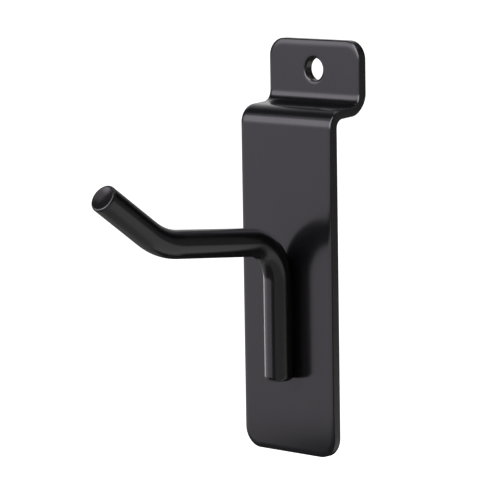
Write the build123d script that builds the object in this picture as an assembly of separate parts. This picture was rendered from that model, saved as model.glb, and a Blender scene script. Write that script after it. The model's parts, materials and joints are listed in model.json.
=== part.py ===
from build123d import *
from math import cos, radians, sin, tan
import os

# Slatwall hook: a punched and bent steel strip with a bent round bar welded on its front.
# X runs across the strip, +Y points into the wall and Z is up. The origin lies on the face that
# meets the wall, half way up the plate. Sizes are in millimetres and angles in degrees.

# Strip: the plate lies on the slats, the web passes the groove, the tab stands behind the lip.
strip_width = 25.0
strip_thickness = 2.0
plate_height = 68.6  # bottom edge to where the web's underside meets the wall face
lip_gap = 6.7  # clear space for the slat's lip, from the wall face to the tab's front
tab_height = 15.35  # web's underside at the wall face to the tab's top edge
web_rise = 4.5  # above level, towards the tab
lower_bend_radius = 1.8  # inside radius, plate to web
upper_bend_radius = 2.1  # inside radius, web to tab
upper_bend_draw = 0.7  # growth of that bend's outside radius, where the metal is drawn thin
plate_corner_radius = 4.2
tab_corner_radius = 3.8
edge_roll_width = 1.4  # strip of front face that the punch draws down beside outline and hole
edge_roll_depth = 0.45
rear_edge_break = 0.2  # edges where the punch leaves, broken by tumbling

# Hole in the tab.
hole_diameter = 4.6
hole_below_top = 6.1  # tab's top edge to the hole's centre

# Rod: the leg is welded to the plate, the arm carries the goods, the tip keeps them on.
rod_diameter = 5.8
foot_height = 15.4  # plate's bottom edge to the rod's lower end
arm_height = 43.7  # plate's bottom edge to where the arm's axis meets the leg's
arm_length = 32.8  # leg's axis to the corner where the tip turns up
tip_length = 18.6  # that corner to the rod's end
arm_rise = 5.0  # above level
tip_rise = 35.0  # above level
heel_bend_radius = 8.5  # on the rod's axis, leg to arm
upturn_bend_radius = 16.3  # on the rod's axis, arm to tip
foot_round = 0.9  # rim of the rod's lower end
tip_round = 0.45  # rim of the tip's end
tip_dish_depth = 0.3  # hollow that cropping leaves in the tip's end
weld_set_down = 0.15  # depth of the flat that welding presses on the rod's leg

# Places that follow from the sizes.
plate_bottom = -plate_height / 2
web_underside = plate_height / 2
tab_rear = lip_gap + strip_thickness
tab_top = web_underside + tab_height
hole_centre = tab_top - hole_below_top
upper_bend_back = upper_bend_radius + strip_thickness + upper_bend_draw
leg_axis = -strip_thickness - rod_diameter / 2 + weld_set_down

roll_lead = 5.0  # angle at which a rolled edge's ellipse starts and stops, clear of its axes
on_line = 1e-4  # nearness that counts as lying on a line


def roll_waste(corner, width, depth):
    """Section of the metal lost above a rolled edge, where the sharp corner would have been.

    The face runs up from the corner and looks along -Y. The roll is nearly a quarter of an ellipse.
    """
    reach, start = cos(radians(roll_lead)), sin(radians(roll_lead))
    across, down = width / (reach - start), depth / (reach - start)
    centre = (-across * reach, -down * reach)
    roll = EllipticalCenterArc(centre, across, down, roll_lead, arc_size=90 - 2 * roll_lead)
    clear = depth
    outside = Polyline(roll @ 1, (-width, clear), (clear, clear), (clear, -depth), roll @ 0)
    waste = make_face([*roll.edges(), *outside.edges()])
    return Plane(corner, x_dir=(0, 0, -1), z_dir=(-1, 0, 0)) * waste


def web_height(depth, above=0.0):
    """Height of the web at a depth from the wall face, on its underside or above it."""
    return web_underside + depth * tan(radians(web_rise)) + above / cos(radians(web_rise))


def rear_rim(strip, line):
    """Edges round the skin that the line draws: its sides, ends, corners and hole."""
    ends = (plate_bottom, tab_top)
    edges = []
    for edge in strip.edges():
        middle = edge @ 0.5
        across = abs((edge % 0.5).X) > 1 - on_line
        at_end = min(abs(middle.Z - end) for end in ends) < on_line
        near = line.distance_to(Vector(0, middle.Y, middle.Z)) < on_line
        if near and (at_end or not across):
            edges.append(edge)
    return edges


def make_back_plate():
    """The strip: bent to a joggle, its corners and hole punched, its edges drawn or broken."""
    half_width = strip_width / 2
    rear_line = FilletPolyline(
        (0, 0, plate_bottom),
        (0, 0, web_underside),
        (0, tab_rear, web_height(tab_rear)),
        (0, tab_rear, tab_top),
        radius=[lower_bend_radius, upper_bend_back],
    )
    web_front = web_height(-strip_thickness, strip_thickness)
    web_back = web_height(lip_gap, strip_thickness)
    front_line = FilletPolyline(
        (0, -strip_thickness, plate_bottom),
        (0, -strip_thickness, web_front),
        (0, lip_gap, web_back),
        (0, lip_gap, tab_top),
        radius=[lower_bend_radius + strip_thickness, upper_bend_radius],
    )
    ends = [Line(rear_line @ t, front_line @ t) for t in (0, 1)]
    section = make_face([*rear_line.edges(), *front_line.edges(), *ends])
    strip = extrude(section, half_width, dir=(1, 0, 0), both=True)

    corners = strip.edges().filter_by(Axis.Y).group_by(Axis.Z)
    strip = fillet(corners[-1], tab_corner_radius)
    corners = strip.edges().filter_by(Axis.Y).group_by(Axis.Z)
    strip = fillet(corners[0], plate_corner_radius)
    tab_middle = Plane((0, lip_gap + strip_thickness / 2, hole_centre), z_dir=(0, 1, 0))
    strip -= tab_middle * Cylinder(hole_diameter / 2, 2 * strip_thickness)
    strip = fillet(rear_rim(strip, rear_line), rear_edge_break)

    # Half of the front's outline, from the middle of the bottom edge round to the middle of the top.
    outline = FilletPolyline(
        (0, -strip_thickness, plate_bottom),
        (half_width, -strip_thickness, plate_bottom),
        (half_width, -strip_thickness, web_front),
        (half_width, lip_gap, web_back),
        (half_width, lip_gap, tab_top),
        (0, lip_gap, tab_top),
        radius=[
            plate_corner_radius,
            lower_bend_radius + strip_thickness,
            upper_bend_radius,
            tab_corner_radius,
        ],
    )
    waste = sweep(roll_waste(outline @ 0, edge_roll_width, edge_roll_depth), outline)
    strip -= waste
    strip -= mirror(waste, about=Plane.YZ)
    hole_top = Vector(0, lip_gap, hole_centre + hole_diameter / 2)
    hole_axis = Axis((0, lip_gap, hole_centre), (0, 1, 0))
    return strip - revolve(roll_waste(hole_top, edge_roll_width, edge_roll_depth), hole_axis)


def make_hook_rod():
    """The round bar: swept along its bent axis, ends rounded, flat where it is welded on."""
    radius = rod_diameter / 2
    heel = Vector(0, leg_axis, plate_bottom + arm_height)
    upturn = heel + Vector(0, -arm_length, 0).rotate(Axis.X, -arm_rise)
    axis = FilletPolyline(
        (0, leg_axis, plate_bottom + foot_height),
        heel,
        upturn,
        upturn + Vector(0, -tip_length, 0).rotate(Axis.X, -tip_rise),
        radius=[heel_bend_radius, upturn_bend_radius],
    )
    rod = sweep((axis ^ 0) * Circle(radius), axis)
    dish_radius = (radius**2 + tip_dish_depth**2) / (2 * tip_dish_depth)
    dish_centre = axis @ 1 + (axis % 1) * (dish_radius - tip_dish_depth)
    rod -= Pos(dish_centre) * Sphere(dish_radius)
    for place, rim_round in ((0, foot_round), (1, tip_round)):
        circles = [e for e in rod.edges().filter_by(GeomType.CIRCLE) if e.is_closed]
        rim = [e for e in circles if (e.arc_center - axis @ place).length < on_line]
        rod = fillet(rim, rim_round)
    plate_front = Plane((0, -strip_thickness, 0), z_dir=(0, -1, 0))
    return split(rod, plate_front, keep=Keep.TOP)


os.makedirs("parts", exist_ok=True)
export_step(make_back_plate(), "parts/back_plate.step")
export_step(make_hook_rod(), "parts/hook_rod.step")
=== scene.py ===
import json
from math import asin, atan, cos, pi, radians, sin, sqrt, tan

import bmesh
import bpy
from bpy.props import FloatProperty, FloatVectorProperty, PointerProperty
from bpy.types import Operator, Panel, PropertyGroup
from mathutils import Matrix, Vector


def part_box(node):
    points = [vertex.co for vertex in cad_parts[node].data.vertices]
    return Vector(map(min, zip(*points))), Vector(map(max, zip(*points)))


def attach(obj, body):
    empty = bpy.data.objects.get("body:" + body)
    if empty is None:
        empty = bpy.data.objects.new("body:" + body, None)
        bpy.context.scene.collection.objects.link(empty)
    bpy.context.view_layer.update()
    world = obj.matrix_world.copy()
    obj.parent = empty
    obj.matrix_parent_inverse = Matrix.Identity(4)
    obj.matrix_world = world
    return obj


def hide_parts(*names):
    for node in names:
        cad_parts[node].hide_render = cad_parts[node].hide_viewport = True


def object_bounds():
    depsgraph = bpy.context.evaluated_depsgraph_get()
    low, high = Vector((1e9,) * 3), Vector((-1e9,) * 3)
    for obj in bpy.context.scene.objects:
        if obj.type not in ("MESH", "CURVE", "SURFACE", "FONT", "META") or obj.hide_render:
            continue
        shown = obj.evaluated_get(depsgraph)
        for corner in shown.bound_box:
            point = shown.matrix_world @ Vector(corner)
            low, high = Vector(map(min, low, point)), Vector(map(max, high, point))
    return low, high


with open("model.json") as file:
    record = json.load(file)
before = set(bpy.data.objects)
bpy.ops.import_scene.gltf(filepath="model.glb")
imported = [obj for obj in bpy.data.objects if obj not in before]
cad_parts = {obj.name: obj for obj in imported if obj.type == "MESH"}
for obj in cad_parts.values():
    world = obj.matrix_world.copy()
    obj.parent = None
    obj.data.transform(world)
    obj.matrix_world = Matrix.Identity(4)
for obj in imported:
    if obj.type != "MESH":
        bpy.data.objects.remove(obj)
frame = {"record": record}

bl_info = {
    "name": "Slatwall hook",
    "version": (1, 0, 0),
    "blender": (4, 5, 0),
    "location": "3D View > Sidebar > Hook",
    "description": "Builds a black coated slatwall hook: a bent strip with a round bar welded on it",
    "category": "Object",
}

# Places read from the packed solids, in metres: X across the strip, +Y into the wall, Z up.
cad_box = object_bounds()
strip_low, strip_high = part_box("back_plate")
foot_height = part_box("hook_rod")[0].z
mounts = {mount["name"]: mount for mount in frame["record"]["mounts"]}
hole_height = mounts["tab_hole"]["pos_m"][2]
hole_radius = mounts["tab_hole"]["dims"]["r_mm"] / 1000
rod_radius = mounts["hook_tip"]["dims"]["r_mm"] / 1000

BODY = "root"
SLOT = "black_coat"
X_AXIS = Vector((1, 0, 0))

# Camera.
IMAGE_WIDTH = 500  # pixels, both ways
FOCAL_PIXELS = 3084.18  # focal length that fits the photograph
SENSOR_WIDTH = 36.0  # millimetres
CLIP_NEAR, CLIP_FAR = 0.01, 50.0  # metres

# Fineness of the meshes.
GUARD = 0.0001  # from the end of a bend to the next row, so that flats shade flat
BEND_STEP = radians(3)  # turn from row to row in a bend
STRAIGHT_STEP = 0.0015  # least way from row to row on a straight run that takes more than one
PATH_STEPS = 90  # round a bend of the path that a blank is laid along
CORNER_STEPS = 16  # round a corner of the strip
ROLL_STEPS = 12  # round a rolled edge, and the rim of the bar's foot
BREAK_STEPS = 6  # round a broken edge
STEEPEST = radians(89.9)  # slope taken for a quarter turn, whose tangent has no end
FOOT_STEPS = 5  # from the bar's axis to the rim of its foot
TIP_RIM_STEPS = 14  # round the rim of the bar's tip
DISH_STEPS = 8  # from that rim to the axis
AROUND = 96  # points round the bar, the hole and the floor
BEAD_STEP = 0.0003  # along the weld bead
BEAD_CORNER_STEPS = 8  # round a corner of the bead's track
BEAD_AROUND = 16  # points round the bead
BEAD_RIPPLES = 700.0  # in a metre of the bead


def length(name, description, default):
    """A size in metres."""
    return FloatProperty(
        name=name, description=description, default=default, min=0.0, precision=5,
        subtype="DISTANCE", unit="LENGTH",
    )


def angle(name, description, degrees):
    """An angle, kept in radians."""
    return FloatProperty(
        name=name, description=description, default=radians(degrees), subtype="ANGLE", unit="ROTATION"
    )


def colour(name, description, default):
    """A colour of a surface or a lamp."""
    return FloatVectorProperty(
        name=name, description=description, default=default, min=0.0, max=1.0, subtype="COLOR"
    )


def number(name, description, default):
    """A plain number."""
    return FloatProperty(name=name, description=description, default=default, min=0.0, precision=3)


class StripSizes(PropertyGroup):
    """Sizes of the punched and bent strip"""

    width: length("Width", "Across the strip", strip_high.x - strip_low.x)
    thickness: length("Thickness", "Of the sheet", -strip_low.y)
    plate_height: length("Plate height", "Bottom edge to the web's corner", -2 * strip_low.z)
    tab_top: length("Tab top", "Height of the tab's top edge above the plate's middle", strip_high.z)
    tab_rear: length("Tab rear", "Depth of the tab's rear face behind the wall's face", strip_high.y)
    web_rise: angle("Web rise", "Of the web above level, towards the tab", 4.5)
    lower_bend: length("Lower bend", "Inside radius, plate to web", 0.0018)
    upper_bend: length("Upper bend", "Inside radius, web to tab", 0.0021)
    upper_draw: length("Upper draw", "Growth of that bend's outside radius, where it is thin", 0.0007)
    plate_corner: length("Plate corner", "Radius of the plate's corners", 0.0042)
    tab_corner: length("Tab corner", "Radius of the tab's corners", 0.0038)
    roll_width: length("Roll width", "Front face that the punch draws down at the upper end", 0.0014)
    roll_depth: length("Roll depth", "How deep it draws the upper end's edge", 0.00045)
    low_roll_width: length("Low roll width", "Front face drawn down at the lower end", 0.001)
    low_roll_depth: length("Low roll depth", "How deep the lower end's edge is drawn", 0.0001)
    side_roll_width: length("Side roll width", "Front face drawn down beside the long edges", 0.001)
    side_roll_depth: length("Side roll depth", "How deep the long edges are drawn", 0.00025)
    hole_roll_width: length("Hole roll width", "Front face drawn down beside the hole", 0.0008)
    hole_roll_depth: length("Hole roll depth", "How deep the hole's rim is drawn", 0.0004)
    rear_break: length("Rear break", "Radius of the tumbled rear edges", 0.0002)
    end_length: length("End length", "Front face that shearing draws down above the lower edge", 0.01)
    end_draw: length("End draw", "How deep it draws that end in the middle, before the roll", 0.00025)
    end_twist: number("End twist", "Share of that depth gained on the right and lost on the left", 1.0)
    hole_height: length("Hole height", "Of the hole's centre above the plate's middle", hole_height)
    hole_radius: length("Hole radius", "Of the hole in the tab", hole_radius)


class RodSizes(PropertyGroup):
    """Sizes of the bent round bar"""

    radius: length("Radius", "Of the bar", rod_radius)
    foot: FloatProperty(
        name="Foot", description="Height of the lower end, from the plate's middle", default=foot_height,
        precision=5, subtype="DISTANCE", unit="LENGTH",
    )
    arm_height: length("Arm height", "Plate's bottom edge to where arm and leg meet", 0.0437)
    arm_length: length("Arm length", "Leg's axis to the corner where the tip turns up", 0.0328)
    tip_length: length("Tip length", "That corner to the bar's end", 0.0186)
    arm_rise: angle("Arm rise", "Above level", 5.0)
    tip_rise: angle("Tip rise", "Above level", 35.0)
    heel_bend: length("Heel bend", "Radius on the axis, leg to arm", 0.0085)
    upturn_bend: length("Upturn bend", "Radius on the axis, arm to tip", 0.0163)
    foot_round: length("Foot round", "Radius of the rim at the lower end", 0.0009)
    tip_round: length("Tip round", "Radius of the rim at the tip", 0.00045)
    dish_depth: length("Dish depth", "Hollow in the tip's end", 0.0003)
    set_down: length("Set-down", "Depth of the flat that welding presses on the leg", 0.00015)
    bead_radius: length("Bead radius", "Coated weld bead between leg and plate", 0.00022)
    bead_least: number("Bead least", "Share of that radius where the bead is thinnest", 0.7)


class CoatLook(PropertyGroup):
    """Finish of the powder coat"""

    coat: colour("Coat", "Full coat", (0.0045, 0.0045, 0.0055))
    thin: colour("Thin coat", "Coat drawn thin over an edge", (0.016, 0.015, 0.016))
    bare: colour("Bare wall", "Sheared wall of the hole under a dusting of coat", (0.026, 0.019, 0.015))
    ior: number("Refraction", "Index of refraction of the coat", 1.5)
    smooth: number("Smoothest", "Least roughness of the coat", 0.17)
    rough: number("Roughest", "Greatest roughness of the coat", 0.21)
    cloud_size: length("Cloud size", "From smoother to rougher places of the coat", 0.009)
    peel_size: length("Peel size", "From ripple to ripple of the coat", 0.0011)
    peel_depth: length("Peel depth", "Height of those ripples", 0.0000014)
    grain_size: length("Grain size", "From grain to grain of the coat", 0.00022)
    grain_depth: length("Grain depth", "Height of those grains", 0.0000004)


class StudioSetup(PropertyGroup):
    """Camera, floor and light"""

    azimuth: angle("Azimuth", "Of the camera, from straight in front towards +X", 44.345)
    elevation: angle("Elevation", "Of the camera above level", 7.661)
    roll: angle("Roll", "Of the camera, anticlockwise", -0.895)
    distance: length("Distance", "Camera to its target", 0.63233)
    focal_length: number("Focal length", "In widths of the image", FOCAL_PIXELS / IMAGE_WIDTH)
    target: FloatVectorProperty(
        name="Target", description="Point in the middle of the image", size=3, precision=5,
        default=(-0.01037, -0.002, 0.00658), subtype="TRANSLATION", unit="LENGTH",
    )
    drop: length("Floor drop", "Floor below the hook's lowest point", 0.17)
    floor: colour("Floor", "Paint of the floor and the backdrop", (0.79, 0.83, 0.77))
    lamp: colour("Lamps", "Light of the softboxes", (0.96, 0.905, 1.0))
    key: number("Key level", "Radiance of the softboxes, relative to white", 1.0)
    room: number("Room level", "Light that comes from all round", 0.3)
    gloom: number("Gloom", "Part of the room's light that the coat's gloss shows", 0.14)


# Lamps: name, azimuth, elevation, distance in metres, width and height as seen from the hook, and
# radiance relative to white. Those that overlap stand in front of each other, so the light has no
# hard edge. Angles are in degrees here and in the tables below.
SOFTBOXES = (
    ("softbox_wide", -22.0, 24.0, 0.76, 62.0, 48.0, 0.85),
    ("softbox_middle", -31.0, 18.0, 0.75, 54.0, 32.0, 0.95),
    ("softbox_core", -42.0, 20.0, 0.74, 32.0, 24.0, 1.5),
    ("softbox_key", -14.0, 34.0, 0.73, 18.0, 58.0, 6.4),
    ("fill_right", 20.0, 8.0, 0.76, 28.0, 16.0, 0.6),
    ("card_left", -101.0, -1.0, 0.76, 26.0, 26.0, 0.8),
    ("card_low", -44.0, -7.5, 0.61, 64.0, 19.0, 1.02),
    ("softbox_top", -165.0, 70.0, 0.76, 60.0, 42.0, 0.85),
)

# Floor: it goes white for the camera between two distances from the hook, in metres.
FLOOR_RADIUS = 12.0
FLOOR_WHITE_FROM, FLOOR_WHITE_TO = 0.2, 0.5
FLOOR_NEAR_GLOW = 0.2  # what it shows of that white nearer to the hook
MATT = 0.9  # roughness of the floor and the backdrop

# The floor in the coat's gloss: a level, and patches that add to it or take from it. A patch has its
# azimuth, the angles from there at which it ends and is full, the distances at which it ends and is
# full, and what it adds.
FLOOR_LEVEL, FLOOR_LEAST = 0.42, 0.04
ANY_DISTANCE = (-1.0, 0.0)
FLOOR_PATCHES = (
    (-110.0, 32.0, 18.0, *ANY_DISTANCE, 0.75),  # left
    (130.0, 55.0, 25.0, 1.5, 0.7, 0.4),  # right and behind, near
    (-24.0, 46.0, 34.0, 0.02, 0.14, -0.34),  # in front, but not right below
    (-165.0, 50.0, 30.0, *ANY_DISTANCE, -0.22),  # behind
    (136.0, 34.0, 18.0, 0.9, 1.3, -0.22),  # right and behind, far
    (-128.0, 50.0, 30.0, 1.1, 0.6, -0.9),  # left and behind, near
)

# Backdrop: part of a round wall. In the coat's gloss it has a bright patch on the left, and it rises
# from one level to another on the right, between two places along X.
BACKDROP_RADIUS = 3.0
BACKDROP_TOP = 3.6
BACKDROP_START, BACKDROP_END = -260.0, -93.0
BACKDROP_STEPS = 32
PATCH_AZIMUTH, PATCH_HEIGHT, PATCH_REACH, PATCH_LEVEL = -118.0, 1.0, 3.2, 1.15
RISE_FROM, RISE_TO, RISE_LOW, RISE_HIGH = 1.2, 2.0, 0.02, 0.22


def turn_points(points, radii):
    """Start, end and turn of each bend along a path with rounded corners, and the path's length."""
    bends, travelled = [], 0.0
    used = 0.0  # part of the run that the last corner took
    for before, corner, after, radius in zip(points, points[1:], points[2:], radii):
        turn = (corner - before).angle(after - corner)
        setback = radius * tan(turn / 2)
        travelled += (corner - before).length - used - setback
        bends.append((travelled, travelled + radius * turn, turn))
        travelled += radius * turn
        used = setback
    return bends, travelled + (points[-1] - points[-2]).length - used


def spread(start, end, steps):
    """Evenly spaced places from start to end, both included."""
    steps = max(1, steps)
    return [start + (end - start) * i / steps for i in range(steps + 1)]


def full_turn():
    """Angles of the points round a circle."""
    return spread(0, 2 * pi, AROUND)[:-1]


def rows_between(start, end, bends):
    """Places along a blank where it needs a row: close in the bends, wide apart on the straights."""
    rows, here = [], start
    for bend_start, bend_end, turn in bends:
        rows += spread(here, bend_start - GUARD, int((bend_start - here) / STRAIGHT_STEP))
        rows += spread(bend_start, bend_end, round(turn / BEND_STEP))
        here = bend_end + GUARD
    return rows + spread(here, end, int((end - here) / STRAIGHT_STEP))


def edge_profile(thickness, roll_width, roll_depth, rear_break):
    """Section of a punched edge: (inset, height) from the front face round to the rear face.

    The front is a quarter of an ellipse, with its points at even steps of slope, and the rear a
    quarter of a circle. A last point at either end lies on the flat face.
    """
    front, rear = thickness / 2, -thickness / 2
    ring_gap = 2 * GUARD
    profile = [(roll_width + ring_gap, front)]
    for slope in spread(0, pi / 2, ROLL_STEPS):
        part = atan(roll_width / roll_depth * tan(min(slope, STEEPEST)))
        profile.append((roll_width * (1 - sin(part)), front - roll_depth * (1 - cos(part))))
    for slope in spread(0, pi / 2, BREAK_STEPS):
        profile.append((rear_break * (1 - cos(slope)), rear + rear_break * (1 - sin(slope))))
    return profile + [(rear_break + ring_gap, rear)]


def close_ring(mesh, inner, outer):
    """Faces between two rings of as many points."""
    for i in range(len(inner)):
        mesh.faces.new((inner[i - 1], inner[i], outer[i], outer[i - 1]))


def cut_strip_blank(size, points, radii):
    """Flat strip standing on its lower end, front towards -Y: corners, hole and rolled edges."""
    bends, strip_length = turn_points(points, radii)
    half_width = size.width / 2
    rows = rows_between(size.plate_corner + GUARD, strip_length - size.tab_corner - GUARD, bends)
    hole_centre = strip_length - (size.tab_top - size.hole_height)
    mesh = bmesh.new()
    thin = mesh.verts.layers.float.new("thin_coat")
    bare = mesh.verts.layers.float.new("bare_wall")

    def corner(radius, middle, way, end, side):
        """Points round a corner on the right, as the section goes over from an end's to a side's."""
        points = []
        for a in spread(0, pi / 2, CORNER_STEPS):
            inset, height = (e * cos(a) ** 2 + s * sin(a) ** 2 for e, s in zip(end, side))
            reach = radius - inset
            points.append((half_width - radius + reach * sin(a), middle + way * reach * cos(a), height))
        return points

    def outline(low, top, side):
        """Ring round the blank: up the right side, then down the left."""
        right = corner(size.plate_corner, size.plate_corner, -1, low, side)
        right += [(half_width - side[0], row, side[1]) for row in rows]
        right += reversed(corner(size.tab_corner, strip_length - size.tab_corner, 1, top, side))
        return right + [(-x, along, height) for x, along, height in reversed(right)]

    def hole(inset, height):
        """Ring round the hole, set back into the tab."""
        reach = size.hole_radius + inset
        return [(reach * cos(a), hole_centre + reach * sin(a), height) for a in full_turn()]

    def drawn(x, along, height):
        """Height of a point of the section, less where the lower end was sheared."""
        near = max(0.0, 1 - along / size.end_length) ** 2
        depth = size.end_draw * (1 + size.end_twist * x / half_width)
        return height - depth * near * max(0.0, 2 * height / size.thickness)

    def skin(rings):
        """Points of the rings that follow an edge from the front face to the rear face."""
        return [
            [mesh.verts.new((x, -drawn(x, along, height), along)) for x, along, height in ring]
            for ring in rings
        ]

    low, top, side, wall = (
        edge_profile(size.thickness, width, depth, size.rear_break)
        for width, depth in (
            (size.low_roll_width, size.low_roll_depth),
            (size.roll_width, size.roll_depth),
            (size.side_roll_width, size.side_roll_depth),
            (size.hole_roll_width, size.hole_roll_depth),
        )
    )
    rim_rings = skin([outline(*places) for places in zip(low, top, side)])
    wall_rings = skin([hole(*place) for place in wall])
    # Nearer to the outline than these, the coat is thin and the hole's wall bare.
    thin_inset, bare_inset = 0.1 * size.rear_break, 0.5 * size.rear_break
    for rings, section in ((rim_rings, top), (wall_rings, wall)):
        for inner, outer in zip(rings, rings[1:]):
            close_ring(mesh, inner, outer)
        for ring, (inset, _) in zip(rings, section):
            for vert in ring:
                vert[thin] = 1.0 if inset < thin_inset else 0.0
                vert[bare] = 1.0 if rings is wall_rings and inset < bare_inset else 0.0

    # The flats are ladders of faces from side to side, up to the row above the upper bend. Above
    # that, the tab is filled round its hole.
    tab_row = CORNER_STEPS + 1 + next(i for i, row in enumerate(rows) if row > bends[1][1])
    for ring, hole_ring in ((rim_rings[0], wall_rings[0]), (rim_rings[-1], wall_rings[-1])):
        half = len(ring) // 2
        right, left = ring[:half], ring[:half - 1:-1]
        for i in range(tab_row):
            mesh.faces.new((right[i], right[i + 1], left[i + 1], left[i]))
        border = right[tab_row:] + left[:tab_row - 1:-1]
        edges = []
        for loop in (border, hole_ring):
            for one, other in zip(loop, loop[1:] + loop[:1]):
                edges.append(mesh.edges.get((one, other)) or mesh.edges.new((one, other)))
        bmesh.ops.triangle_fill(mesh, use_beauty=True, edges=edges)
    return finish_blank(mesh, "strip_blank")


def turn_rod_blank(size, points, radii):
    """Straight bar standing on its foot: rims rounded, and the tip's end dished."""
    bends, rod_length = turn_points(points, radii)
    radius, foot, rim = size.radius, size.foot_round, size.tip_round
    dish_radius = (radius**2 + size.dish_depth**2) / (2 * size.dish_depth)
    dish_centre = rod_length + dish_radius - size.dish_depth
    core = radius - rim  # from the axis to the middle of a rim's round
    tip_rim = dish_centre - sqrt((dish_radius + rim) ** 2 - core**2)
    lean = asin(core / (dish_radius + rim))
    profile = [(reach, 0.0) for reach in spread(0, radius - foot - GUARD, FOOT_STEPS)]
    profile += [
        (radius - foot + foot * sin(a), foot - foot * cos(a)) for a in spread(0, pi / 2, ROLL_STEPS)
    ]
    profile += [(radius, row) for row in rows_between(foot + GUARD, tip_rim - GUARD, bends)]
    profile += [
        (core + rim * cos(a), tip_rim + rim * sin(a)) for a in spread(0, pi / 2 + lean, TIP_RIM_STEPS)
    ]
    profile += [
        (dish_radius * sin(a), dish_centre - dish_radius * cos(a))
        for a in spread(asin((core - rim * sin(lean)) / dish_radius), 0, DISH_STEPS)[1:]
    ]
    mesh = bmesh.new()
    thin = mesh.verts.layers.float.new("thin_coat")
    mesh.verts.layers.float.new("bare_wall")
    rings = [
        [mesh.verts.new((reach * cos(a), reach * sin(a), along)) for a in full_turn()]
        for reach, along in profile[1:-1]
    ]
    for lower, upper in zip(rings, rings[1:]):
        close_ring(mesh, lower, upper)
    for ring, along in ((rings[0], profile[0][1]), (rings[-1], profile[-1][1])):
        pole = mesh.verts.new((0, 0, along))
        for i in range(len(ring)):
            mesh.faces.new((ring[i - 1], ring[i], pole))
    for ring, (reach, along) in zip(rings, profile[1:-1]):
        for vert in ring:
            on_rim = along > tip_rim and reach > core
            vert[thin] = 1.0 if on_rim else 0.0
    return finish_blank(mesh, "rod_blank")


def finish_blank(mesh, name):
    """Mesh of a blank, faces outwards."""
    bmesh.ops.recalc_face_normals(mesh, faces=mesh.faces)
    blank = bpy.data.meshes.new(name)
    mesh.to_mesh(blank)
    mesh.free()
    return blank


def new_tree(name, inputs):
    """Geometry node tree with named inputs, and its first and last nodes."""
    tree = bpy.data.node_groups.new(name, "GeometryNodeTree")
    for label, kind in inputs:
        tree.interface.new_socket(label, in_out="INPUT", socket_type="NodeSocket" + kind)
    tree.interface.new_socket("Geometry", in_out="OUTPUT", socket_type="NodeSocketGeometry")
    return tree, tree.nodes.new("NodeGroupInput").outputs, tree.nodes.new("NodeGroupOutput").inputs


def add_node(tree, kind, settings=None, **inputs):
    """Node of a kind, with its settings made and its inputs linked or given a value.

    An input is named with _ for a space; one that ends in a number, as in Vector_1, is taken by place.
    """
    node = tree.nodes.new(kind)
    for setting, value in (settings or {}).items():
        setattr(node, setting, value)
    for label, value in inputs.items():
        place = label.rpartition("_")[2]
        socket = node.inputs[int(place)] if place.isdigit() else node.inputs[label.replace("_", " ")]
        if isinstance(value, bpy.types.NodeSocket):
            tree.links.new(value, socket)
        else:
            socket.default_value = value
    return node


def join(tree, operation, one, other):
    """Two values put together."""
    node = add_node(tree, "ShaderNodeMath", {"operation": operation}, Value_0=one, Value_1=other)
    return node.outputs[0]


def ramp(tree, value, start, end, low, high):
    """Value that goes smoothly from low to high between two places."""
    return add_node(
        tree, "ShaderNodeMapRange", {"interpolation_type": "SMOOTHSTEP"}, Value=value,
        From_Min=start, From_Max=end, To_Min=low, To_Max=high,
    ).outputs[0]


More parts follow.
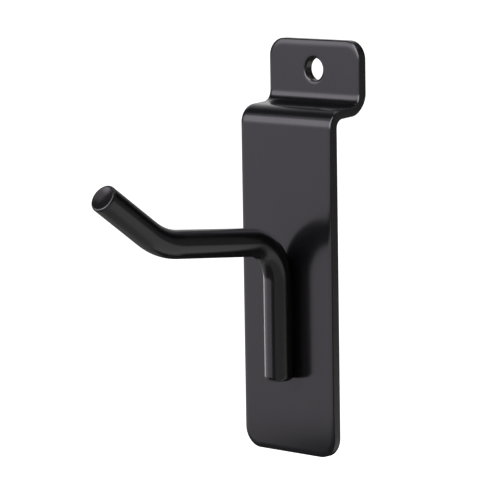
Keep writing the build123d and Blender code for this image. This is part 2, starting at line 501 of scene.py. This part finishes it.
def bend_tree():
    """Tree that lays a straight blank along a path of three runs with two rounded corners."""
    tree, given, result = new_tree(
        "Bend to path",
        [
            ("Blank", "Geometry"), ("Start", "Vector"), ("First corner", "Vector"),
            ("Second corner", "Vector"), ("End", "Vector"), ("First radius", "Float"),
            ("Second radius", "Float"), ("Steps", "Int"), ("Second bend", "Float"),
            ("Second bend end", "Float"), ("Thinning", "Float"), ("Material", "Material"),
        ],
    )
    index = add_node(tree, "GeometryNodeInputIndex").outputs[0]

    def by_index(kind, values):
        """The value that goes with each of the path's points."""
        switch = add_node(tree, "GeometryNodeIndexSwitch", {"data_type": kind}, Index=index)
        while len(switch.index_switch_items) < len(values):
            switch.index_switch_items.new()
        for socket, value in zip(switch.inputs[1:], values):
            if value is not None:
                tree.links.new(value, socket)
        return switch.outputs[0]

    corners = by_index(
        "VECTOR", [given["Start"], given["First corner"], given["Second corner"], given["End"]]
    )
    radii = by_index("FLOAT", [None, given["First radius"], given["Second radius"], None])
    runs = add_node(tree, "GeometryNodeMeshLine", Count=4)
    runs = add_node(tree, "GeometryNodeSetPosition", Geometry=runs.outputs[0], Position=corners)
    path = add_node(tree, "GeometryNodeMeshToCurve", Mesh=runs.outputs[0])
    path = add_node(
        tree, "GeometryNodeFilletCurve", {"mode": "POLY"},
        Curve=path.outputs[0], Count=given["Steps"], Radius=radii,
    )

    place = add_node(tree, "GeometryNodeInputPosition").outputs[0]
    blank = add_node(tree, "ShaderNodeSeparateXYZ", Vector=place).outputs
    along = add_node(
        tree, "GeometryNodeSampleCurve", {"mode": "LENGTH"},
        Curves=path.outputs[0], Length=blank["Z"],
    ).outputs
    rear = add_node(
        tree, "ShaderNodeVectorMath", {"operation": "CROSS_PRODUCT"},
        Vector_0=along["Tangent"], Vector_1=X_AXIS,
    )
    # The sheet is drawn thin in the second bend, most of all half way round.
    turn = add_node(
        tree, "ShaderNodeMapRange", Value=blank["Z"], From_Min=given["Second bend"],
        From_Max=given["Second bend end"], To_Min=0.0, To_Max=pi,
    )
    wave = add_node(tree, "ShaderNodeMath", {"operation": "SINE"}, Value_0=turn.outputs[0]).outputs[0]
    lost = join(tree, "MULTIPLY", join(tree, "POWER", wave, 2.0), given["Thinning"])
    reach = join(tree, "MULTIPLY", blank["Y"], join(tree, "SUBTRACT", 1.0, lost))
    depth = add_node(
        tree, "ShaderNodeVectorMath", {"operation": "SCALE"}, Vector_0=rear.outputs[0], Scale=reach
    )
    across = add_node(tree, "ShaderNodeCombineXYZ", X=blank["X"])
    section = add_node(
        tree, "ShaderNodeVectorMath", {"operation": "ADD"},
        Vector_0=depth.outputs[0], Vector_1=across.outputs[0],
    )
    bent = add_node(
        tree, "ShaderNodeVectorMath", {"operation": "ADD"},
        Vector_0=along["Position"], Vector_1=section.outputs[0],
    )
    piece = add_node(tree, "GeometryNodeSetPosition", Geometry=given["Blank"], Position=bent.outputs[0])
    dress(tree, piece.outputs[0], given["Material"], result)
    return tree


def bead_tree():
    """Tree that runs a thin bead round the foot of the leg, where it is welded to the plate."""
    tree, given, result = new_tree(
        "Weld bead",
        [
            ("Width", "Float"), ("Height", "Float"), ("Corner", "Float"), ("Centre", "Vector"),
            ("Bead radius", "Float"), ("Least", "Float"), ("Material", "Material"),
        ],
    )
    track = add_node(
        tree, "GeometryNodeCurvePrimitiveQuadrilateral", Width=given["Width"], Height=given["Height"]
    )
    track = add_node(
        tree, "GeometryNodeFilletCurve", {"mode": "POLY"},
        Curve=track.outputs[0], Count=BEAD_CORNER_STEPS, Radius=given["Corner"],
    )
    track = add_node(
        tree, "GeometryNodeResampleCurve", {"mode": "LENGTH"}, Curve=track.outputs[0], Length=BEAD_STEP
    )
    track = add_node(
        tree, "GeometryNodeTransform", Geometry=track.outputs[0],
        Translation=given["Centre"], Rotation=(radians(90), 0, 0),
    )
    ripple = add_node(
        tree, "ShaderNodeTexNoise", {"noise_dimensions": "3D"}, Scale=BEAD_RIPPLES, Detail=1.0
    )
    ripple = add_node(
        tree, "ShaderNodeMapRange", Value=ripple.outputs[0],
        To_Min=given["Least"], To_Max=1.0,
    )
    section = add_node(
        tree, "GeometryNodeCurvePrimitiveCircle", Resolution=BEAD_AROUND, Radius=given["Bead radius"]
    )
    bead = add_node(
        tree, "GeometryNodeCurveToMesh", Curve=track.outputs[0],
        Profile_Curve=section.outputs[0], Scale=ripple.outputs[0],
    )
    dress(tree, bead.outputs[0], given["Material"], result)
    return tree


def dress(tree, geometry, material, result):
    """Last nodes of a tree: smooth, realized and with its material."""
    smooth = add_node(tree, "GeometryNodeSetShadeSmooth", Geometry=geometry)
    real = add_node(tree, "GeometryNodeRealizeInstances", Geometry=smooth.outputs[0])
    dressed = add_node(tree, "GeometryNodeSetMaterial", Geometry=real.outputs[0], Material=material)
    tree.links.new(dressed.outputs[0], result["Geometry"])


def run_tree(tree, name, mesh, **inputs):
    """Piece that a tree makes of a mesh, as a plain mesh at the origin."""
    piece = bpy.data.objects.new(name, mesh)
    bpy.context.scene.collection.objects.link(piece)
    nodes = piece.modifiers.new(tree.name, "NODES")
    nodes.node_group = tree
    sockets = {item.name: item.identifier for item in tree.interface.items_tree if item.in_out == "INPUT"}
    for label, value in inputs.items():
        nodes[sockets[label.replace("_", " ")]] = value
    depsgraph = bpy.context.evaluated_depsgraph_get()
    made = bpy.data.meshes.new_from_object(
        piece.evaluated_get(depsgraph), preserve_all_data_layers=True, depsgraph=depsgraph
    )
    if not made.polygons:
        raise RuntimeError(f"the tree {tree.name} made nothing for {name}")
    piece.modifiers.remove(nodes)
    piece.data = made
    made.name = name
    return piece


def black_coat(look):
    """Semi-gloss black powder coat: fine ripples and grain, thin on edges, a dusting in the hole."""
    name = SLOT + "_finish"
    if name in bpy.data.materials:
        return bpy.data.materials[name]
    material = bpy.data.materials.new(name)
    material.use_nodes = True
    tree = material.node_tree
    shader = tree.nodes["Principled BSDF"]
    place = add_node(tree, "ShaderNodeTexCoord").outputs["Object"]

    def noise(size, detail):
        """Soft pattern with spots of about a size."""
        return add_node(
            tree, "ShaderNodeTexNoise", Vector=place, Scale=1 / size, Detail=detail, Roughness=0.5
        ).outputs[0]

    peel, grain = noise(look.peel_size, 1.0), noise(look.grain_size, 2.0)
    cloud = noise(look.cloud_size, 3.0)
    thin = add_node(tree, "ShaderNodeAttribute", {"attribute_name": "thin_coat"}).outputs["Fac"]
    bare = add_node(tree, "ShaderNodeAttribute", {"attribute_name": "bare_wall"}).outputs["Fac"]

    def blend(amount, one, other):
        """Mix of two colours, which a Mix node has at inputs 6 and 7 and output 2."""
        mix = add_node(tree, "ShaderNodeMix", {"data_type": "RGBA"})
        for socket, value in ((mix.inputs[0], amount), (mix.inputs[6], one), (mix.inputs[7], other)):
            if isinstance(value, bpy.types.NodeSocket):
                tree.links.new(value, socket)
            else:
                socket.default_value = (*value, 1.0)
        return mix.outputs[2]

    patchy = add_node(
        tree, "ShaderNodeMapRange", Value=grain, From_Min=0.35, From_Max=0.65, To_Min=0.2, To_Max=1.0
    ).outputs[0]
    worn, dusted = join(tree, "MULTIPLY", thin, patchy), join(tree, "MULTIPLY", bare, patchy)
    shade = blend(worn, look.coat, look.thin)
    tree.links.new(blend(dusted, shade, look.bare), shader.inputs["Base Color"])

    gloss = add_node(
        tree, "ShaderNodeMapRange", Value=cloud, From_Min=0.3, From_Max=0.7,
        To_Min=look.smooth, To_Max=look.rough,
    ).outputs[0]
    tree.links.new(gloss, shader.inputs["Roughness"])
    ripples = add_node(
        tree, "ShaderNodeBump", Height=peel, Strength=1.0, Distance=look.peel_depth
    ).outputs[0]
    grains = add_node(
        tree, "ShaderNodeBump", Height=grain, Strength=1.0, Distance=look.grain_depth, Normal=ripples
    ).outputs[0]
    tree.links.new(grains, shader.inputs["Normal"])
    shader.inputs["IOR"].default_value = look.ior
    return material


class HOOK_OT_strip(Operator):
    """Cut the strip's blank, bend it and coat it"""

    bl_idname = "hook.strip"
    bl_label = "Bent strip"

    def execute(self, context):
        size = context.scene.hook_strip
        middle, tab = size.thickness / 2, size.tab_rear - size.thickness / 2
        slope, web = tan(size.web_rise), size.plate_height / 2 + middle / cos(size.web_rise)
        points = [
            Vector((0, -middle, -size.plate_height / 2)),
            Vector((0, -middle, web - middle * slope)),
            Vector((0, tab, web + tab * slope)),
            Vector((0, tab, size.tab_top)),
        ]
        radii = (size.lower_bend + middle, size.upper_bend + middle + size.upper_draw / 2)
        start, end, turn = turn_points(points, radii)[0][1]
        thinning = size.upper_draw / size.thickness * (1 / cos(turn / 2) - 1)
        piece = run_tree(
            bend_tree(), "strip", cut_strip_blank(size, points, radii),
            Start=points[0], First_corner=points[1], Second_corner=points[2], End=points[3],
            First_radius=radii[0], Second_radius=radii[1], Steps=PATH_STEPS,
            Second_bend=start, Second_bend_end=end, Thinning=thinning,
            Material=black_coat(context.scene.hook_coat),
        )
        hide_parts("back_plate")
        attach(piece, BODY)
        return {"FINISHED"}


def rod_path(rod, strip):
    """Corners of the bar's axis, from its foot to its tip."""
    leg = -strip.thickness - rod.radius + rod.set_down
    heel = Vector((0, leg, rod.arm_height - strip.plate_height / 2))
    upturn = heel + rod.arm_length * Vector((0, -cos(rod.arm_rise), sin(rod.arm_rise)))
    end = upturn + rod.tip_length * Vector((0, -cos(rod.tip_rise), sin(rod.tip_rise)))
    return [Vector((0, leg, rod.foot)), heel, upturn, end]


class HOOK_OT_rod(Operator):
    """Turn the bar's ends, bend it, press its weld flat and coat it"""

    bl_idname = "hook.rod"
    bl_label = "Bent bar"

    def execute(self, context):
        size, strip = context.scene.hook_rod, context.scene.hook_strip
        points = rod_path(size, strip)
        radii = (size.heel_bend, size.upturn_bend)
        piece = run_tree(
            bend_tree(), "rod", turn_rod_blank(size, points, radii),
            Start=points[0], First_corner=points[1], Second_corner=points[2], End=points[3],
            First_radius=radii[0], Second_radius=radii[1], Steps=PATH_STEPS,
            Material=black_coat(context.scene.hook_coat),
        )
        for vertex in piece.data.vertices:
            vertex.co.y = min(vertex.co.y, -strip.thickness)
        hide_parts("hook_rod")
        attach(piece, BODY)
        return {"FINISHED"}


class HOOK_OT_bead(Operator):
    """Run the coated weld bead round the leg's flat"""

    bl_idname = "hook.bead"
    bl_label = "Weld bead"

    def execute(self, context):
        size, strip = context.scene.hook_rod, context.scene.hook_strip
        points = rod_path(size, strip)
        foot = points[0]
        bends, _ = turn_points(points, (size.heel_bend, size.upturn_bend))
        low = foot.z + 1.6 * size.foot_round  # clear of the foot's rim
        high = foot.z + bends[0][0]  # where the heel's bend starts
        half_flat = sqrt(size.radius**2 - (size.radius - size.set_down) ** 2)
        width = 2 * half_flat + 3 * size.bead_radius
        corner = width / 2.2  # nearly half, so that the track's ends are round
        depth = -strip.thickness - size.bead_radius / 3  # partly sunk in the plate
        piece = run_tree(
            bead_tree(), "weld_bead", bpy.data.meshes.new("weld_bead_blank"),
            Width=width, Height=high - low, Corner=corner,
            Centre=Vector((0, depth, (low + high) / 2)),
            Bead_radius=size.bead_radius, Least=size.bead_least,
            Material=black_coat(context.scene.hook_coat),
        )
        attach(piece, BODY)
        return {"FINISHED"}


class HOOK_OT_stage(Operator):
    """Set up the floor, the light and the camera"""

    bl_idname = "hook.stage"
    bl_label = "Stage"

    def execute(self, context):
        scene, setup = context.scene, context.scene.hook_studio
        scene.view_settings.view_transform = "Standard"
        place_camera(scene, setup)
        lay_floor(scene, setup)
        hang_backdrop(scene, setup)
        light_world(scene, setup)
        for box in SOFTBOXES:
            place_softbox(scene, setup, *box)
        return {"FINISHED"}


def outward(azimuth, elevation):
    """Direction from the hook, by azimuth from -Y towards +X and elevation above level."""
    return Vector((sin(azimuth) * cos(elevation), -cos(azimuth) * cos(elevation), sin(elevation)))


def place_camera(scene, setup):
    """Camera at the photograph's angle, with a long lens."""
    data = bpy.data.cameras.new("camera")
    data.sensor_width = SENSOR_WIDTH
    data.lens = setup.focal_length * data.sensor_width
    data.clip_start, data.clip_end = CLIP_NEAR, CLIP_FAR
    camera = bpy.data.objects.new("camera", data)
    scene.collection.objects.link(camera)
    back = outward(setup.azimuth, setup.elevation)
    right = Vector((cos(setup.azimuth), sin(setup.azimuth), 0))
    turn = Matrix((right, back.cross(right), back)).transposed() @ Matrix.Rotation(setup.roll, 3, "Z")
    camera.matrix_world = Matrix.LocRotScale(Vector(setup.target) + back * setup.distance, turn, None)
    scene.camera = camera


def floor_level(setup):
    """Height of the floor, below the lowest solid."""
    return cad_box[0].z - setup.drop


def stage_mesh(scene, name, mesh, material):
    """Object of the stage from a bmesh, which it uses up."""
    data = bpy.data.meshes.new(name)
    mesh.to_mesh(data)
    mesh.free()
    data.materials.append(material)
    piece = bpy.data.objects.new(name, data)
    scene.collection.objects.link(piece)


def pale_paint(name, setup):
    """Matt paint that glows for the camera, and shows the coat's gloss a glow of its own.

    Gives the material, its tree, the strength of either glow and the light path.
    """
    material = bpy.data.materials.new(name)
    material.use_nodes = True
    tree = material.node_tree
    paint = tree.nodes["Principled BSDF"]
    paint.inputs["Base Color"].default_value = (*setup.floor, 1.0)
    paint.inputs["Roughness"].default_value = MATT
    ray = add_node(tree, "ShaderNodeLightPath").outputs
    glow, shine = add_node(tree, "ShaderNodeEmission"), add_node(tree, "ShaderNodeEmission")
    lit = add_node(tree, "ShaderNodeAddShader", Shader_0=paint.outputs[0], Shader_1=glow.outputs[0])
    mixed = add_node(
        tree, "ShaderNodeMixShader",
        Fac=ray["Is Glossy Ray"], Shader_1=lit.outputs[0], Shader_2=shine.outputs[0],
    )
    tree.links.new(mixed.outputs[0], tree.nodes["Material Output"].inputs["Surface"])
    return material, tree, glow.inputs["Strength"], shine.inputs["Strength"], ray


def seen_by_camera(tree, ray):
    """One where the camera sees a surface, straight or through a clear one, and nothing elsewhere."""
    return join(tree, "MAXIMUM", ray["Is Camera Ray"], ray["Is Transmission Ray"])


def lay_floor(scene, setup):
    """Pale floor: it keeps the shadow below the hook, and goes white towards the backdrop."""
    material, tree, glow, shine, ray = pale_paint("floor_paint", setup)
    place = add_node(tree, "ShaderNodeTexCoord").outputs["Object"]
    flat = add_node(
        tree, "ShaderNodeVectorMath", {"operation": "MULTIPLY"}, Vector_0=place, Vector_1=(1, 1, 0)
    ).outputs[0]
    away = add_node(tree, "ShaderNodeVectorMath", {"operation": "LENGTH"}, Vector_0=flat).outputs["Value"]
    way = add_node(tree, "ShaderNodeVectorMath", {"operation": "NORMALIZE"}, Vector_0=flat).outputs[0]
    white = ramp(tree, away, FLOOR_WHITE_FROM, FLOOR_WHITE_TO, FLOOR_NEAR_GLOW, 1.0)
    tree.links.new(join(tree, "MULTIPLY", seen_by_camera(tree, ray), white), glow)
    shown = FLOOR_LEVEL
    for azimuth, edge, full, far_edge, far_full, level in FLOOR_PATCHES:
        facing = add_node(
            tree, "ShaderNodeVectorMath", {"operation": "DOT_PRODUCT"},
            Vector_0=way, Vector_1=outward(radians(azimuth), 0),
        ).outputs["Value"]
        side = ramp(tree, facing, cos(radians(edge)), cos(radians(full)), 0.0, level)
        reach = ramp(tree, away, far_edge, far_full, 0.0, 1.0)
        shown = join(tree, "ADD", shown, join(tree, "MULTIPLY", side, reach))
    tree.links.new(join(tree, "MAXIMUM", shown, FLOOR_LEAST), shine)
    mesh = bmesh.new()
    bmesh.ops.create_circle(mesh, cap_ends=True, segments=AROUND, radius=FLOOR_RADIUS)
    mesh.transform(Matrix.Translation((0, 0, floor_level(setup))))
    stage_mesh(scene, "floor", mesh, material)


def wall_point(azimuth, height):
    """Place on the backdrop's round wall."""
    return outward(azimuth, 0) * BACKDROP_RADIUS + Vector((0, 0, height))


def hang_backdrop(scene, setup):
    """White paper wall behind the hook, as the camera and the coat's gloss see it."""
    material, tree, glow, shine, ray = pale_paint("backdrop_paper", setup)
    place = add_node(tree, "ShaderNodeTexCoord").outputs["Object"]
    tree.links.new(seen_by_camera(tree, ray), glow)
    middle = wall_point(radians(PATCH_AZIMUTH), PATCH_HEIGHT)
    away = add_node(
        tree, "ShaderNodeVectorMath", {"operation": "DISTANCE"}, Vector_0=place, Vector_1=middle
    ).outputs["Value"]
    across = add_node(tree, "ShaderNodeSeparateXYZ", Vector=place).outputs["X"]
    left = ramp(tree, away, 0.0, PATCH_REACH, PATCH_LEVEL, 0.0)
    right = ramp(tree, across, RISE_FROM, RISE_TO, RISE_LOW, RISE_HIGH)
    tree.links.new(join(tree, "MAXIMUM", left, right), shine)
    mesh = bmesh.new()
    sweep = spread(radians(BACKDROP_START), radians(BACKDROP_END), BACKDROP_STEPS)
    rails = [
        [mesh.verts.new(wall_point(a, height)) for a in sweep]
        for height in (floor_level(setup), BACKDROP_TOP)
    ]
    for i in range(BACKDROP_STEPS):
        mesh.faces.new((rails[0][i], rails[0][i + 1], rails[1][i + 1], rails[1][i]))
    stage_mesh(scene, "backdrop", mesh, material)


def light_world(scene, setup):
    """White for the camera, a dim room for the light."""
    world = bpy.data.worlds.new("studio")
    world.use_nodes = True
    tree = world.node_tree
    room = tree.nodes["Background"]
    white = add_node(tree, "ShaderNodeBackground", Color=(1.0, 1.0, 1.0, 1.0))
    ray = add_node(tree, "ShaderNodeLightPath").outputs
    dim = ramp(tree, ray["Is Glossy Ray"], 0.0, 1.0, setup.room, setup.room * setup.gloom)
    tree.links.new(dim, room.inputs["Strength"])
    room.inputs["Color"].default_value = (1.0, 1.0, 1.0, 1.0)
    mixed = add_node(
        tree, "ShaderNodeMixShader",
        Fac=seen_by_camera(tree, ray), Shader_1=room.outputs[0], Shader_2=white.outputs[0],
    )
    tree.links.new(mixed.outputs[0], tree.nodes["World Output"].inputs["Surface"])
    scene.world = world


def place_softbox(scene, setup, name, azimuth, elevation, distance, width, height, radiance):
    """Rectangular lamp that faces the hook, with its radiance scaled by the key level."""
    data = bpy.data.lights.new(name, "AREA")
    data.shape = "RECTANGLE"
    data.color = setup.lamp
    data.size, data.size_y = (2 * distance * tan(radians(span) / 2) for span in (width, height))
    data.energy = setup.key * radiance * pi * data.size * data.size_y
    lamp = bpy.data.objects.new(name, data)
    scene.collection.objects.link(lamp)
    back = outward(radians(azimuth), radians(elevation))
    lamp.matrix_world = Matrix.LocRotScale(back * distance, back.to_track_quat("Z", "Y"), None)


class HOOK_PT_panel(Panel):
    """Sizes, finish and pieces of the hook"""

    bl_idname = "HOOK_PT_panel"
    bl_label = "Slatwall hook"
    bl_space_type = "VIEW_3D"
    bl_region_type = "UI"
    bl_category = "Hook"

    def draw(self, context):
        for operator in OPERATORS:
            self.layout.operator(operator.bl_idname)
        for name, group in GROUPS.items():
            box = self.layout.box()
            box.label(text=group.__doc__)
            for key in group.__annotations__:
                box.prop(getattr(context.scene, name), key)


GROUPS = {
    "hook_strip": StripSizes,
    "hook_rod": RodSizes,
    "hook_coat": CoatLook,
    "hook_studio": StudioSetup,
}
OPERATORS = (HOOK_OT_strip, HOOK_OT_rod, HOOK_OT_bead, HOOK_OT_stage)


def register():
    for cls in (*GROUPS.values(), *OPERATORS, HOOK_PT_panel):
        bpy.utils.register_class(cls)
    for name, group in GROUPS.items():
        setattr(bpy.types.Scene, name, PointerProperty(type=group))


def unregister():
    for name in GROUPS:
        delattr(bpy.types.Scene, name)
    for cls in reversed((*GROUPS.values(), *OPERATORS, HOOK_PT_panel)):
        bpy.utils.unregister_class(cls)


def main():
    register()
    bpy.ops.hook.strip()
    bpy.ops.hook.rod()
    bpy.ops.hook.bead()
    bpy.ops.hook.stage()


if __name__ == "__main__":
    main()
